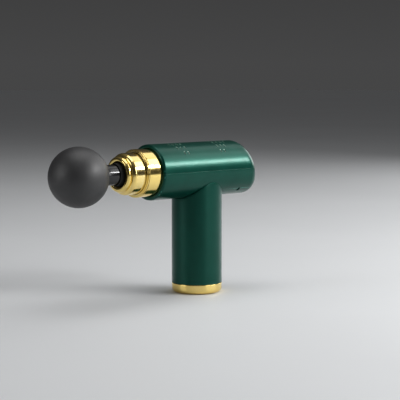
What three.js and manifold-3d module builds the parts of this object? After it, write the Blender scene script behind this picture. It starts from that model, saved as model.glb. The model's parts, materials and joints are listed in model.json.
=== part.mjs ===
// Compact T-shaped percussion massage gun, in millimetres, +Z up.
// Origin: centre of the foot's underside. The barrel lies along X, the ball head points to -X.
import * as THREE from 'three';
import { mergeVertices } from 'three/addons/utils/BufferGeometryUtils.js';
import Module from 'manifold-3d';

const wasm = await Module();
wasm.setup();

// ---- driving dimensions ----
const GAP = 0.3;                // clearance between neighbouring pieces
const AXIS_Z = 112.8;           // barrel axis above the floor

// barrel
const BARREL_R = 25;
const WALL = 1.8;               // barrel and handle wall
const FRONT_X = -58.5;          // front face of the barrel
const FRONT_FILLET = 2.2;
const FRONT_WALL = 2.2;         // thickness of the front face
const REAR_X = 52;              // rear face, measured on the barrel axis
const REAR_TILT = 14;           // degrees the rear face leans back
const REAR_ROUND = 9;           // rounding of the rear end, along the barrel
const REAR_ROUND_R = 7;         // and across it
const REAR_ROUND_X = 44.8;      // where that rounding starts
const REAR_LIP_R = 22.4;        // opening the mint ring sits in
const REAR_RIM_R = 22.7;        // where the rounding ends
const SHEAR_FROM_X = 30;        // everything behind this follows the leaning rear face

// vents: rows counted in degrees from the top, slots in each row
const VENT_W = 1.2;
const VENT_L = 3.5;
const VENT_PITCH = 4.45;
const VENT_ROWS = [[0, 5], [15.5, 4], [31, 3], [46.5, 2]];
const VENT_GROUPS = [[-25.2, -1], [13.6, 1]]; // first slot's X, direction the row runs in

// wrist strap slot, on the -Y side under the barrel
const STRAP = { x: 37.2, angle: 141.5, width: 2.4, length: 4.8 };

// handle and foot
const HANDLE_R = 23;
const FOOT_H = 8.8;
const FOOT_FILLET = 4;
const FOOT_FLOOR = 2.5;
const FOOT_BORE_R = 18.9;
const SPIGOT_TOP = 14;          // foot cap spigot inside the handle
const LEDGE_Z = 80;             // ledge that carries the motor mount
const LEDGE_T = 1.6;
const LEDGE_R = 17.3;

// battery pack
const CELL_R = 9.2;
const CELL_X = 9.4;
const CELL_BASE = 5;
const CELL_TOP = 70;
const CELL_ROUND = 0.6;
const BOARD_T = 1.6;
const CHARGE_BOARD_Z = 72.6;
const CHARGE_BOARD_R = 19.5;

// motor
const MOUNT_R = 20.6;
const MOUNT_T = 2.2;
const MOUNT_BOSS_R = 5.2;       // tube that carries the stator
const MOUNT_BOSS_TOP = 97.4;
const MOUNT_SCREW_R = 19;       // circle of the three mount screws
const SHAFT_R = 2.45;
const SHAFT_TOP = 102.6;
const SHAFT_BORE_R = 2.8;
const STATOR_TEETH = 9;
const STATOR_Z = 87;
const STATOR_H = 8.5;
const CAN_R = 17.2;
const CAN_INNER_R = 15;
const CAN_Z = 86.2;
const CAN_TOP = 99.6;

// crank and yoke
const CRANK_E = 3.5;            // crank throw, half of the stroke
const CRANK_Z = 100.2;
const CRANK_T = 6.2;
const CRANK_WEIGHT_R = 16;
const CRANK_HUB_R = 8;
const CRANK_BORE_R = 2.7;
const PIN_Z = 103.7;
const PIN_TOP = 118.9;
const BLOCK = 10;               // sliding block, a cube
const BLOCK_BEVEL = 1.2;
const SLOT_CLEAR = 0.8;         // block clearance in the yoke along the stroke
const YOKE_H = 11;
const YOKE_W = 26;
const YOKE_RAIL = 3;            // yoke wall in front of and behind the slot
const YOKE_SLOT_L = 19.4;
const YOKE_SLOT_Y = -0.4;
const YOKE_NECK_R = 5.4;
const YOKE_SPIGOT_R = 5;
const YOKE_FLANGE_R = 8.4;
const YOKE_FRONT = -36;

// plunger
const PLUNGER_FRONT = -87;
const PLUNGER_REAR = -22;
const PLUNGER_R = 8.9;
const PLUNGER_BORE_R = 5.3;
const SOCKET_R = 7.6;
const SOCKET_DEPTH = 24;
const CROSS_PIN_X = -29;
const CROSS_PIN_R = 1.05;

// gold nose
const NOSE_R = 18.5;            // front cylinder
const NOSE_INNER_R = 15.6;
const SLEEVE_R = 21.4;          // rear cylinder
const FLANGE_R = 22.9;
const BEAD_X = -74.1;           // front of the proud bead ring
const BEAD_W = 1.7;
const BEAD_R = 21.3;
const BEAD_STEP_R = 20;         // small ring in front of the bead
const BEAD_STEP = 0.55;
const LIP_X = -92.15;           // tip of the rolled lip
const LIP_R = 13.15;            // circle the lip is rolled around
const LIP_ROLL = 2.75;
const BORE_R = LIP_R - LIP_ROLL;
const SHOULDER_X = -84.1;       // where the rounded shoulder meets the front cylinder
const SHOULDER_ROUND = 3.6;
const COLLAR_FRONT = -95.4;     // black collar that stands out of the lip
const COLLAR_REAR = -85.4;
const COLLAR_R = 10.1;
const BUSH_FRONT = -84.2;
const BUSH_REAR = -62;
const BUSH_R = 15.3;
const CARRIER_BORE_R = 10.2;
const CARRIER_R = 18.4;
const NOSE_SCREW_R = 20.6;      // circle of the three nose screws

// ball head
const BALL_X = -133;
const BALL_R = 26.2;
const STEM_R = 9;
const STEM_TIP = -140;
const STEM_TIP_R = 8;           // part of the stem held in the foam
const SPIGOT_R = 7.3;           // head spigot in the plunger socket
const SPIGOT_REAR = -64;
const O_RING_X = [-80, -71];
const O_RING_R = 6.95;
const O_RING_T = 0.55;          // radius of the ring's cord
const GROOVE_R = 6.2;

// rear panel
const PANEL_R = 19.9;
const PANEL_T = 1.6;
const PANEL_SET = 0.4;          // panel below the rear face
const BEZEL_R = 22.1;
const BEZEL_OPENING_R = 20.2;
const LED_COUNT = 6;
const LED_ARC_R = 12.7;
const LED_STEP = 20;            // degrees between neighbouring lights
const LED_HOLE_R = 0.95;
const LED_R = 0.75;
const BUTTON_HOLE_R = 6.1;
const BUTTON_RING_R = 5.85;
const BUTTON_R = 4.4;
const BUTTON_FLANGE_R = 5.5;
const USB_DROP = 12.4;          // charging socket below the button
const USB_W = 8.94;
const USB_H = 3.26;
const USB_WALL = 0.3;
const CONTROL_BOARD_X = REAR_X - 10.8;
const CONTROL_BOARD_R = 21.8;
const PANEL_SCREWS = [[-20, 3.5], [20, 3.5]];

// small screws: shank radius, shank length, head radius, head height
const CASE_SCREW = [0.8, 5.2, 1.5, 1.2];
const NOSE_SCREW = [0.8, 4.6, 1.5, 1.2];
const BOARD_SCREW = [0.75, 4.4, 1.5, 1];
const PILOT_R = 0.95;

// facets round a full turn
const SEG_BIG = 40;
const SEG_BALL = 32;
const SEG_MID = 24;
const SEG_CELL = 20;
const SEG_SMALL = 14;
const SEG_TINY = 8;

const DEG = Math.PI / 180;
const THROUGH = 1;              // how far a cutter reaches past the piece it cuts

// ---- materials ----
const finish = (name, color, metalness, roughness) =>
  Object.assign(new THREE.MeshStandardMaterial({ color, metalness, roughness }), { name });
const GREEN = () => finish('green_anodised', 0x0c4a3c, 0.75, 0.35);
const GOLD = () => finish('polished_gold', 0xd8b45a, 1.0, 0.12);
const MINT = () => finish('mint_chamfer', 0x9fe0c4, 0.8, 0.25);
const CREAM = () => finish('pale_gold_satin', 0xe6d49a, 0.7, 0.35);
const BLACK = () => finish('gloss_black', 0x111214, 0.0, 0.2);
const MATT = () => finish('matt_black', 0x1c1d1f, 0.0, 0.6);
const FOAM = () => finish('foam_black', 0x2c2d2f, 0.0, 0.85);
const RUBBER = () => finish('black_rubber', 0x141414, 0.0, 0.75);
const STEEL = () => finish('ground_steel', 0xa9adb2, 1.0, 0.3);
const ALLOY = () => finish('machined_alloy', 0xb9bcc0, 0.9, 0.35);
const CELL = () => finish('cell_wrap', 0x2f6fae, 0.1, 0.4);
const BOARD = () => finish('circuit_board', 0x14532d, 0.1, 0.5);
const LENS = () => finish('light_pipe', 0xf4f6f4, 0.0, 0.2);
const BRONZE = () => finish('bearing_bronze', 0xa9793c, 0.9, 0.35);
const COPPER = () => finish('stator_copper', 0xa85a32, 0.8, 0.4);

// ---- geometry helpers ----
/** Weld a geometry, drop collapsed triangles and turn its faces outward. */
function weld(geometry) {
  const bare = geometry.clone();
  bare.deleteAttribute('normal');
  bare.deleteAttribute('uv');
  const merged = mergeVertices(bare, 1e-4);
  const p = merged.getAttribute('position');
  const v = [new THREE.Vector3(), new THREE.Vector3(), new THREE.Vector3()];
  const faces = [];
  let volume = 0;
  for (let i = 0; i < merged.index.count; i += 3) {
    const t = [0, 1, 2].map((k) => merged.index.getX(i + k));
    if (new Set(t).size < 3) continue;
    t.forEach((k, n) => v[n].fromBufferAttribute(p, k));
    volume += v[0].dot(v[1].cross(v[2]));
    faces.push(t);
  }
  merged.setIndex(faces.flatMap(([a, b, c]) => (volume < 0 ? [a, c, b] : [a, b, c])));
  return merged;
}

function solid(geometry) {
  const g = weld(geometry);
  return new wasm.Manifold(new wasm.Mesh({
    numProp: 3,
    vertProperties: new Float32Array(g.getAttribute('position').array),
    triVerts: new Uint32Array(g.index.array),
  }));
}

function surface(body) {
  const m = body.getMesh();
  const g = new THREE.BufferGeometry();
  g.setAttribute('position', new THREE.BufferAttribute(new Float32Array(m.vertProperties), 3));
  g.setIndex(new THREE.BufferAttribute(new Uint32Array(m.triVerts), 1));
  return g;
}

const cut = (base, ...tools) => surface(tools.reduce((s, t) => s.subtract(solid(t)), solid(base)));
const join = (base, ...more) => surface(more.reduce((s, t) => s.add(solid(t)), solid(base)));
const keep = (base, tool) => surface(solid(base).intersect(solid(tool)));

/**
 * Arc of a profile: points [along, radius] round a centre, in degrees from the +along direction.
 * across stretches it in the radial direction.
 */
function arc(along, radius, r, from, to, steps, across = r) {
  return Array.from({ length: steps + 1 }, (_, i) => {
    const a = (from + (to - from) * i / steps) * DEG;
    return [along + r * Math.cos(a), radius + across * Math.sin(a)];
  });
}

/** Solid of revolution about Y from [along, radius] points; off the axis the profile closes itself. */
function turned(profile, segments) {
  const points = profile.map(([along, r]) => new THREE.Vector2(r, along));
  const onAxis = profile[0][1] === 0 && profile.at(-1)[1] === 0;
  if (!onAxis) points.push(points[0].clone());
  return weld(new THREE.LatheGeometry(points, segments));
}
const turnedX = (profile, segments) =>
  turned(profile, segments).rotateZ(-Math.PI / 2).translate(0, 0, AXIS_Z);
const turnedZ = (profile, segments) => turned(profile, segments).rotateX(Math.PI / 2);

const tube = (from, to, inner, outer) => [[from, inner], [to, inner], [to, outer], [from, outer]];
const rod = (from, to, r) => [[from, 0], [from, r], [to, r], [to, 0]];
const box = (x, y, z, cx, cy, cz) => new THREE.BoxGeometry(x, y, z).translate(cx, cy, cz);

/** Closed outline through [x, y] corners. */
function outline(corners) {
  const shape = new THREE.Shape(corners.map(([x, y]) => new THREE.Vector2(x, y)));
  shape.closePath();
  return shape;
}

const slab = (shape, height, curveSegments) =>
  new THREE.ExtrudeGeometry(shape, { depth: height, bevelEnabled: false, curveSegments });

/** Rounded slot, long side along local Y, centred in X and Y, from z = low to high. */
function slot(width, length, low, high, steps) {
  const r = width / 2;
  const reach = length / 2 - r;
  const shape = new THREE.Shape();
  shape.absarc(0, reach, r, 0, Math.PI, false).absarc(0, -reach, r, Math.PI, 2 * Math.PI, false);
  shape.closePath();
  return slab(shape, high - low, steps).translate(0, 0, low);
}

/** Three places [u, v] evenly round a circle, the first on the +v side. */
const thirds = (radius) => [90, 210, 330].map((degrees) => {
  const a = degrees * DEG;
  return [radius * Math.cos(a), radius * Math.sin(a)];
});

/** Lean the rear of a barrel piece back so that its end follows the slanted face. */
function leanRear(geometry) {
  const p = geometry.getAttribute('position');
  const slope = Math.tan(REAR_TILT * DEG);
  for (let i = 0; i < p.count; i++) {
    if (p.getX(i) > SHEAR_FROM_X) p.setX(i, p.getX(i) - (p.getZ(i) - AXIS_Z) * slope);
  }
  return geometry;
}

// Frame of the rear panel: local X to +Y, local Y up the panel, local Z outward.
const LEAN = REAR_TILT * DEG;
const PANEL = new THREE.Matrix4().makeBasis(
  new THREE.Vector3(0, 1, 0),
  new THREE.Vector3(-Math.sin(LEAN), 0, Math.cos(LEAN)),
  new THREE.Vector3(Math.cos(LEAN), 0, Math.sin(LEAN)),
).setPosition(REAR_X, 0, AXIS_Z);
const onPanel = (geometry, x = 0, y = 0) => geometry.translate(x, y, 0).applyMatrix4(PANEL);
/** Local Z in the panel's frame of a barrel station. */
const depth = (x) => (x - REAR_X) * Math.cos(LEAN);

/** Pan-head screw: head on top of z = 0, shank below. */
const screw = ([r, length, headR, headH]) => turnedZ([
  [-length, 0],
  [-length, r],
  [0, r],
  [0, headR],
  [headH * 0.6, headR],
  [headH, headR * 0.6],
  [headH * 0.5, 0],
], SEG_TINY);

const group = new THREE.Group();
group.name = 'massage_gun';
function add(name, geometry, material) {
  const mesh = new THREE.Mesh(geometry, material);
  mesh.name = name;
  group.add(mesh);
}

// ---- barrel: two half shells that meet at axis height ----
const shellInner = BARREL_R - WALL;
const frontHoleR = SLEEVE_R + 0.4;
const rearRoundEnd = Math.asin((REAR_RIM_R - BARREL_R + REAR_ROUND_R) / REAR_ROUND_R) / DEG;
const shell = leanRear(turnedX([
  [FRONT_X, frontHoleR],
  ...arc(FRONT_X + FRONT_FILLET, BARREL_R - FRONT_FILLET, FRONT_FILLET, 180, 90, 3),
  [SHEAR_FROM_X, BARREL_R],
  ...arc(REAR_ROUND_X, BARREL_R - REAR_ROUND_R, REAR_ROUND, 90, rearRoundEnd, 4, REAR_ROUND_R),
  [REAR_X - 0.8, REAR_LIP_R],
  [REAR_X - 3.1, REAR_LIP_R],
  [REAR_X - 4.7, shellInner],
  [SHEAR_FROM_X, shellInner],
  [FRONT_X + FRONT_WALL, shellInner],
  [FRONT_X + FRONT_WALL, frontHoleR],
], SEG_BIG));

const ventTools = VENT_GROUPS.flatMap(([startX, direction]) =>
  VENT_ROWS.flatMap(([angle, count]) =>
    (angle === 0 ? [0] : [angle, -angle]).flatMap((turn) =>
      Array.from({ length: count }, (_, i) =>
        box(VENT_W, VENT_L, 4, 0, 0, BARREL_R - 1)
          .rotateX(turn * DEG)
          .translate(startX + direction * i * VENT_PITCH, 0, AXIS_Z)))));
const HALF_BOX = 40;
const halfSpace = (side) => box(160, 60, HALF_BOX, 0, 0, AXIS_Z + side * (HALF_BOX + GAP) / 2);
add('barrel_upper', cut(keep(shell, halfSpace(1)), ...ventTools), GREEN());

const strapTool = slot(STRAP.width, STRAP.length, shellInner - THROUGH, BARREL_R + THROUGH, 3)
  .rotateX(STRAP.angle * DEG)
  .translate(STRAP.x, 0, AXIS_Z);
const handleInner = HANDLE_R - WALL;
const handleWay = turnedZ(rod(70, AXIS_Z - 5, handleInner - 1.4), SEG_BIG);
add('barrel_lower', cut(keep(shell, halfSpace(-1)), strapTool, handleWay), GREEN());

// ---- handle and foot ----
const handleBlank = turnedZ([
  [FOOT_H + GAP, HANDLE_R],
  [AXIS_Z - 4, HANDLE_R],
  [AXIS_Z - 4, handleInner],
  [LEDGE_Z + LEDGE_T, handleInner],
  [LEDGE_Z + LEDGE_T, LEDGE_R],
  [LEDGE_Z, LEDGE_R],
  [LEDGE_Z, handleInner],
  [FOOT_H + GAP, handleInner],
], SEG_BIG);
const saddle = turnedX(rod(-40, 40, BARREL_R + GAP), SEG_BIG);
const mountHoles = (low, high, r) => thirds(MOUNT_SCREW_R).map(([x, y]) =>
  turnedZ(rod(low - THROUGH, high + THROUGH, r), SEG_TINY).translate(x, y, 0));
add('handle_tube', cut(handleBlank, saddle, ...mountHoles(LEDGE_Z, LEDGE_Z + LEDGE_T, 1)), GREEN());

add('foot_cap', turnedZ([
  [0, 0],
  ...arc(FOOT_FILLET, HANDLE_R - FOOT_FILLET, FOOT_FILLET, 180, 90, 4),
  [FOOT_H, HANDLE_R],
  [FOOT_H, handleInner - GAP],
  [SPIGOT_TOP, handleInner - GAP],
  [SPIGOT_TOP, FOOT_BORE_R],
  [FOOT_FLOOR, FOOT_BORE_R],
  [FOOT_FLOOR, 0],
], SEG_BIG), GOLD());

// ---- battery pack in the handle ----
const cellProfile = [
  [CELL_BASE, 0],
  [CELL_BASE, CELL_R - CELL_ROUND],
  [CELL_BASE + CELL_ROUND, CELL_R],
  [CELL_TOP - 2, CELL_R],
  [CELL_TOP - 1.4, CELL_R - CELL_ROUND],
  [CELL_TOP - 1.4, 3],
  [CELL_TOP, 3],
  [CELL_TOP, 0],
];
[-1, 1].forEach((side, i) =>
  add(`battery_cell_${i + 1}`, turnedZ(cellProfile, SEG_CELL).translate(side * CELL_X, 0, 0), CELL()));
add('battery_cradle', join(
  turnedZ(rod(3, 4.6, 18.5), SEG_MID),
  turnedZ(rod(70.4, 72, 20.4), SEG_MID),
  ...[-1, 1].map((side) => box(7, 3, 68, 0, side * 13, 37.5)),
), MATT());
const chargeBoard = turnedZ(rod(CHARGE_BOARD_Z, CHARGE_BOARD_Z + BOARD_T, CHARGE_BOARD_R), SEG_MID);
const cableNotch = box(12, 6, 4, 0, CHARGE_BOARD_R - 0.5, CHARGE_BOARD_Z + BOARD_T / 2);
add('charge_board', cut(chargeBoard, cableNotch), BOARD());

// ---- motor: upright in the neck, under the crank ----
const mountZ = LEDGE_Z + LEDGE_T + GAP;
const mountTop = mountZ + MOUNT_T;
const mountBlank = turnedZ([
  [mountZ, SHAFT_BORE_R],
  [mountZ, MOUNT_R],
  [mountTop, MOUNT_R],
  [mountTop, MOUNT_BOSS_R],
  [MOUNT_BOSS_TOP, MOUNT_BOSS_R],
  [MOUNT_BOSS_TOP, SHAFT_BORE_R],
], SEG_MID);
add('motor_mount', cut(mountBlank, ...mountHoles(mountZ, mountTop, 1.1)), ALLOY());
thirds(MOUNT_SCREW_R).forEach(([x, y], i) =>
  add(`motor_screw_${i + 1}`, screw(CASE_SCREW).translate(x, y, mountTop + 0.1), STEEL()));

/** Stator lamination: a hub with evenly spaced T-shaped teeth round a bore. */
function statorShape(teeth, boreR, hubR, neckW, shoeR, tipR) {
  const step = 2 * Math.PI / teeth;
  const neck = Math.asin(neckW / 2 / hubR);
  const neckEnd = Math.asin(neckW / 2 / shoeR);
  const shoe = step * 0.4;
  const tooth = [
    [hubR, -neck], [shoeR, -neckEnd], [shoeR, -shoe], [tipR, -shoe],
    [tipR, 0],
    [tipR, shoe], [shoeR, shoe], [shoeR, neckEnd], [hubR, neck],
  ];
  const corners = Array.from({ length: teeth }, (_, i) =>
    tooth.map(([r, a]) => [r * Math.cos(a + i * step), r * Math.sin(a + i * step)]));
  const shape = outline(corners.flat());
  shape.holes.push(new THREE.Path().absarc(0, 0, boreR, 0, 2 * Math.PI, true));
  return shape;
}
const stator = slab(statorShape(STATOR_TEETH, MOUNT_BOSS_R + GAP, 7.5, 2.4, 12.6, 14.4), STATOR_H, 10);
add('motor_stator', weld(stator.translate(0, 0, STATOR_Z)), COPPER());
add('rotor_can', turnedZ([
  [CAN_Z, CAN_INNER_R],
  [CAN_Z, CAN_R],
  [CAN_TOP - 0.8, CAN_R],
  [CAN_TOP, CAN_R - 0.8],
  [CAN_TOP, CRANK_BORE_R],
  [CAN_TOP - 1.6, CRANK_BORE_R],
  [CAN_TOP - 1.6, CAN_INNER_R],
], SEG_MID), STEEL());
add('motor_shaft', turnedZ(rod(mountZ + 0.6, SHAFT_TOP, SHAFT_R), SEG_SMALL), STEEL());

// ---- crank, sliding block and yoke ----
const crankShape = new THREE.Shape();
crankShape.absarc(0, 0, CRANK_WEIGHT_R, 25 * DEG, 155 * DEG, false);
crankShape.absarc(0, 0, CRANK_HUB_R, 190 * DEG, 350 * DEG, false);
crankShape.closePath();
const crankTop = CRANK_Z + CRANK_T;
add('crank_disc', cut(
  slab(crankShape, CRANK_T, 18).translate(0, 0, CRANK_Z),
  turnedZ(rod(CRANK_Z - THROUGH, SHAFT_TOP + GAP, CRANK_BORE_R), SEG_SMALL),
  turnedZ(rod(PIN_Z - 0.2, crankTop + THROUGH, CRANK_BORE_R), SEG_SMALL).translate(0, -CRANK_E, 0),
), STEEL());
add('crank_pin', turnedZ([
  [PIN_Z, 0],
  [PIN_Z, SHAFT_R],
  [PIN_TOP - 0.5, SHAFT_R],
  [PIN_TOP, SHAFT_R - 0.55],
  [PIN_TOP, 0],
], SEG_SMALL).translate(0, -CRANK_E, 0), STEEL());

const blockHalf = BLOCK / 2;
const blockSide = blockHalf - BLOCK_BEVEL;
const blockOutline = outline([
  [blockHalf, blockSide], [blockSide, blockHalf], [-blockSide, blockHalf], [-blockHalf, blockSide],
  [-blockHalf, -blockSide], [-blockSide, -blockHalf], [blockSide, -blockHalf], [blockHalf, -blockSide],
]);
add('slide_block', cut(
  slab(blockOutline, BLOCK).translate(0, -CRANK_E, AXIS_Z - blockHalf),
  turnedZ(rod(AXIS_Z - BLOCK, AXIS_Z + BLOCK, CRANK_BORE_R), SEG_SMALL).translate(0, -CRANK_E, 0),
), BRONZE());

const slotW = BLOCK + 2 * SLOT_CLEAR;
const yokeHalf = slotW / 2 + YOKE_RAIL;
const flangeX = PLUNGER_REAR + 0.8;
const crossPin = (r, halfLength) =>
  turnedZ(rod(AXIS_Z - halfLength, AXIS_Z + halfLength, r), SEG_TINY).translate(CROSS_PIN_X, 0, 0);
const crossHole = crossPin(CROSS_PIN_R + 0.25, PLUNGER_R + 2.6);
const yokeNeck = turnedX([
  [YOKE_FRONT, 0],
  [YOKE_FRONT, YOKE_SPIGOT_R - 0.6],
  [YOKE_FRONT + 0.6, YOKE_SPIGOT_R],
  [flangeX, YOKE_SPIGOT_R],
  [flangeX, YOKE_FLANGE_R],
  [flangeX + 0.8, YOKE_FLANGE_R],
  [flangeX + 0.8, YOKE_NECK_R],
  [-yokeHalf + 2.9, YOKE_NECK_R],
  [-yokeHalf + 2.9, 0],
], SEG_MID);
add('yoke', cut(
  join(box(2 * yokeHalf, YOKE_W, YOKE_H, 0, 0, AXIS_Z), yokeNeck),
  box(slotW, YOKE_SLOT_L, YOKE_H + 2 * THROUGH, 0, YOKE_SLOT_Y, AXIS_Z),
  crossHole,
), ALLOY());

const socketEnd = PLUNGER_FRONT + SOCKET_DEPTH;
add('plunger', cut(
  turnedX([
    [PLUNGER_REAR, PLUNGER_BORE_R],
    [PLUNGER_REAR, PLUNGER_R - 0.8],
    [PLUNGER_REAR - 0.8, PLUNGER_R],
    [PLUNGER_FRONT + 0.5, PLUNGER_R],
    [PLUNGER_FRONT, PLUNGER_R - 0.5],
    [PLUNGER_FRONT, SOCKET_R],
    [socketEnd, SOCKET_R],
    [socketEnd, PLUNGER_BORE_R],
  ], SEG_MID),
  crossHole,
), ALLOY());
add('plunger_pin', crossPin(CROSS_PIN_R, PLUNGER_R - 0.6), STEEL());

// ---- gold nose ----
add('nose_cap', turnedX([
  [LIP_X + LIP_ROLL, BORE_R],
  ...arc(LIP_X + LIP_ROLL, LIP_R, LIP_ROLL, 270, 52, 6),
  ...arc(SHOULDER_X, NOSE_R - SHOULDER_ROUND, SHOULDER_ROUND, 172, 90, 3),
  [-64, NOSE_R],
  [-64, NOSE_INNER_R],
  [BUSH_FRONT - 0.4, NOSE_INNER_R],
  [BUSH_FRONT - 0.4, BORE_R],
], SEG_BIG), GOLD());

const beadEnd = BEAD_X + BEAD_W;
add('nose_bead', turnedX([
  [BEAD_X, NOSE_R + GAP],
  [BEAD_X, BEAD_STEP_R - 0.4],
  [BEAD_X + 0.25, BEAD_STEP_R],
  [BEAD_X + BEAD_STEP, BEAD_STEP_R],
  [BEAD_X + BEAD_STEP, BEAD_R - 0.5],
  [BEAD_X + BEAD_STEP + 0.4, BEAD_R],
  [beadEnd - 0.3, BEAD_R],
  [beadEnd, BEAD_R - 0.3],
  [beadEnd, NOSE_R + GAP],
], SEG_BIG), GOLD());

const noseHoles = (from, to) => thirds(NOSE_SCREW_R).map(([y, z]) =>
  turnedX(rod(from, to, 1), SEG_TINY).translate(0, y, z));
const sleeveFront = beadEnd + GAP;
add('nose_sleeve', cut(turnedX([
  [sleeveFront, NOSE_R + GAP],
  [sleeveFront, SLEEVE_R - 0.5],
  [sleeveFront + 0.5, SLEEVE_R],
  [-54.5, SLEEVE_R],
  [-54.5, FLANGE_R],
  [-52.3, FLANGE_R],
  [-52.3, NOSE_R + GAP],
], SEG_BIG), ...noseHoles(-56, -50)), GOLD());
add('bore_gasket', turnedX([
  [COLLAR_FRONT, STEM_R + GAP],
  [COLLAR_FRONT, COLLAR_R - 0.3],
  [COLLAR_FRONT + 0.3, COLLAR_R],
  [COLLAR_REAR, COLLAR_R],
  [COLLAR_REAR, STEM_R + GAP],
], SEG_MID), RUBBER());
add('guide_bush', turnedX(tube(BUSH_FRONT, BUSH_REAR, PLUNGER_R + 0.25, BUSH_R), SEG_MID), MATT());
add('nose_carrier', cut(turnedX([
  [BUSH_REAR + 0.4, CARRIER_BORE_R],
  [BUSH_REAR + 0.4, CARRIER_R],
  [-51.9, CARRIER_R],
  [-51.9, FLANGE_R],
  [-49.7, FLANGE_R],
  [-49.7, CARRIER_BORE_R],
], SEG_MID), ...noseHoles(-55, -48)), MATT());
thirds(NOSE_SCREW_R).forEach(([y, z], i) => {
  const placed = screw(NOSE_SCREW).rotateY(Math.PI / 2).translate(-49.5, y, AXIS_Z + z);
  add(`nose_screw_${i + 1}`, placed, STEEL());
});

// ---- interchangeable ball head ----
const shoulder = PLUNGER_FRONT - GAP;
const groove = (x) => [[x - 0.9, SPIGOT_R], [x - 0.9, GROOVE_R], [x + 0.9, GROOVE_R], [x + 0.9, SPIGOT_R]];
add('head_stem', turnedX([
  [STEM_TIP, 0],
  [STEM_TIP, STEM_TIP_R - 1],
  [STEM_TIP + 1, STEM_TIP_R],
  [-120, STEM_TIP_R],
  [-118, STEM_R],
  [shoulder - 0.6, STEM_R],
  [shoulder, STEM_R - 0.6],
  [shoulder, SPIGOT_R],
  ...O_RING_X.flatMap(groove),
  [SPIGOT_REAR - 1.5, SPIGOT_R],
  [SPIGOT_REAR, SPIGOT_R - 1.5],
  [SPIGOT_REAR, 0],
], SEG_MID), BLACK());
O_RING_X.forEach((x, i) =>
  add(`head_o_ring_${i + 1}`, turnedX(arc(x, O_RING_R, O_RING_T, 0, 270, 3), 20), RUBBER()));

const ballBore = STEM_R + GAP;
const mouth = Math.asin((ballBore + 0.4) / BALL_R) / DEG;
add('foam_ball', turnedX([
  [BALL_X - BALL_R, 0],
  ...arc(BALL_X, 0, BALL_R, 180, mouth, 14).slice(1),
  [BALL_X + BALL_R * Math.cos(mouth * DEG) - 0.6, ballBore],
  [-118.2, ballBore],
  [-120.4, STEM_TIP_R + GAP],
  [STEM_TIP - GAP, STEM_TIP_R + GAP],
  [STEM_TIP - GAP, 0],
], SEG_BALL), FOAM());

// ---- rear panel ----
const boardBack = depth(CONTROL_BOARD_X);
const boardFace = depth(CONTROL_BOARD_X + BOARD_T);
const panelHoles = (from, to, r) => PANEL_SCREWS.map(([x, y]) =>
  onPanel(turnedZ(rod(from, to, r), SEG_TINY), x, y));
const bezelRing = leanRear(turnedX([
  [REAR_X - 8.9, 18.6],
  [REAR_X - 8.9, BEZEL_R],
  [REAR_X - 0.8, BEZEL_R],
  [REAR_X + 0.2, BEZEL_R - 1.4],
  [REAR_X + 0.2, BEZEL_OPENING_R],
  [REAR_X - 2.3, BEZEL_OPENING_R],
  [REAR_X - 2.3, 18.6],
], SEG_BIG));
add('rear_bezel', cut(bezelRing, ...panelHoles(-12, -5, PILOT_R)), MINT());

const ledPlaces = Array.from({ length: LED_COUNT }, (_, i) => {
  const a = (i - (LED_COUNT - 1) / 2) * LED_STEP * DEG;
  return [-LED_ARC_R * Math.sin(a), LED_ARC_R * Math.cos(a)];
});
const panelDisc = leanRear(turnedX(rod(REAR_X - PANEL_SET - PANEL_T, REAR_X - PANEL_SET, PANEL_R), SEG_BIG));
const socketHole = slot(USB_H + 0.64, USB_W + 0.66, -6, 2, 4).rotateZ(Math.PI / 2);
add('rear_panel', cut(
  panelDisc,
  onPanel(turnedZ(rod(-5, 3, BUTTON_HOLE_R), SEG_MID)),
  ...ledPlaces.map(([x, y]) => onPanel(turnedZ(rod(-5, 3, LED_HOLE_R), SEG_TINY), x, y)),
  onPanel(socketHole, 0, -USB_DROP),
), CREAM());

const lightPipe = [
  [boardFace + 0.56, 0],
  [boardFace + 0.56, 1.3],
  [-3, 1.3],
  [-2.6, LED_R],
  [-0.35, LED_R],
  [-0.2, LED_R - 0.25],
  [-0.2, 0],
];
ledPlaces.forEach(([x, y], i) =>
  add(`light_pipe_${i + 1}`, onPanel(turnedZ(lightPipe, SEG_TINY), x, y), LENS()));

add('button_ring', onPanel(turnedZ([
  [-2.6, BUTTON_R + 0.35],
  [-2.6, BUTTON_RING_R],
  [-0.1, BUTTON_RING_R],
  [0.2, BUTTON_RING_R - 0.35],
  [0.2, BUTTON_R + 0.6],
  [-0.1, BUTTON_R + 0.35],
], SEG_MID)), MATT());
add('power_button', onPanel(turnedZ([
  [-6.5, 0],
  [-6.5, 1.6],
  [-3.9, 1.6],
  [-3.9, BUTTON_FLANGE_R],
  [-2.9, BUTTON_FLANGE_R],
  [-2.9, BUTTON_R],
  [0.1, BUTTON_R],
  [0.45, BUTTON_R - 0.35],
  [0.3, 2],
  [0.25, 0],
], SEG_MID)), BLACK());
add('tact_switch', onPanel(join(
  box(6, 6, 0.9, 0, 0, boardFace + 0.55),
  turnedZ(rod(boardFace + 0.3, -7.4, 1.4), SEG_SMALL),
)), BLACK());

const boardDisc = leanRear(turnedX(
  rod(CONTROL_BOARD_X, CONTROL_BOARD_X + BOARD_T, CONTROL_BOARD_R), SEG_BIG));
add('control_board', cut(boardDisc, ...panelHoles(-16, -4, PILOT_R)), BOARD());
PANEL_SCREWS.forEach(([x, y], i) => {
  const placed = screw(BOARD_SCREW).rotateX(Math.PI).translate(0, 0, boardBack - 0.15);
  add(`board_screw_${i + 1}`, onPanel(placed, x, y), STEEL());
});

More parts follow.
